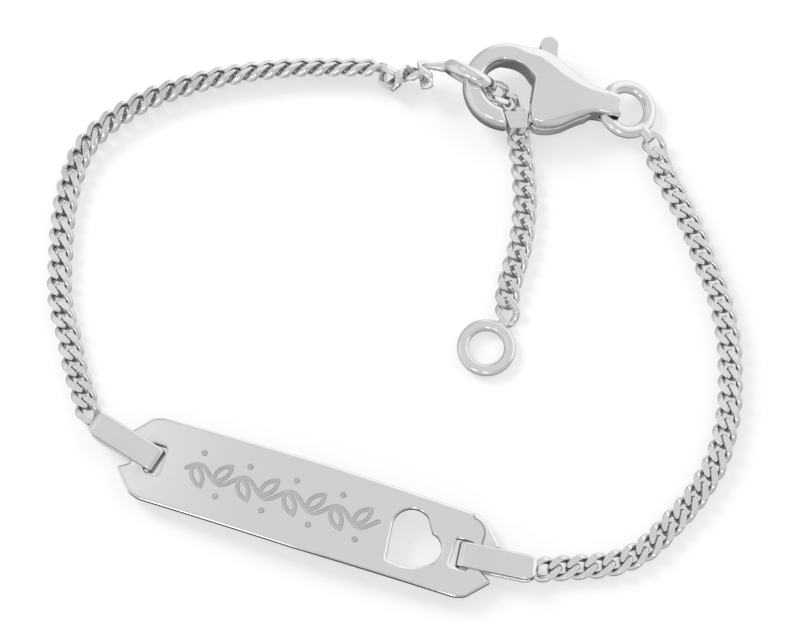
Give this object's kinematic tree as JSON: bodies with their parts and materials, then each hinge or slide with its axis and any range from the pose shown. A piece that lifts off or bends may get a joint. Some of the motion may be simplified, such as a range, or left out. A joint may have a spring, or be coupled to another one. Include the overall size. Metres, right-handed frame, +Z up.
{
  "type": "name bracelet",
  "caption": "Silver curb-chain name bracelet with an arched plate, heart cut-out, folded bails, lobster clasp, sizing ring and short extension chain, lying flat",
  "frame": {"origin": "Middle of the bracelet's footprint, on the table", "axes": "+Z up, +X along the name plate, +Y from the plate towards the clasp"},
  "size_m": [0.0498, 0.0398, 0.0042],
  "materials": {
    "silver": "polished sterling silver, bright all over"
  },
  "bodies": {
    "bracelet": {"name_plate": "silver", "bail_left": "silver", "bail_right": "silver", "chain_left": "silver", "chain_right": "silver", "sizing_ring": "silver", "extension_chain": "silver", "end_ring": "silver", "clasp_ring": "silver", "clasp_body": "silver", "clasp_pin": "silver"},
    "lever": {"clasp_lever": "silver"}
  },
  "joints": [
    {"name": "clasp_gate", "type": "hinge", "parent": "bracelet", "child": "lever", "pos_m": [0.00718, 0.01536, 0.0017], "axis": [-0.0727, -0.0092, -0.9973], "range_deg": [0, 20], "stiffness_Nm_per_rad": 0.00005, "springref_deg": -28.65}
  ]
}
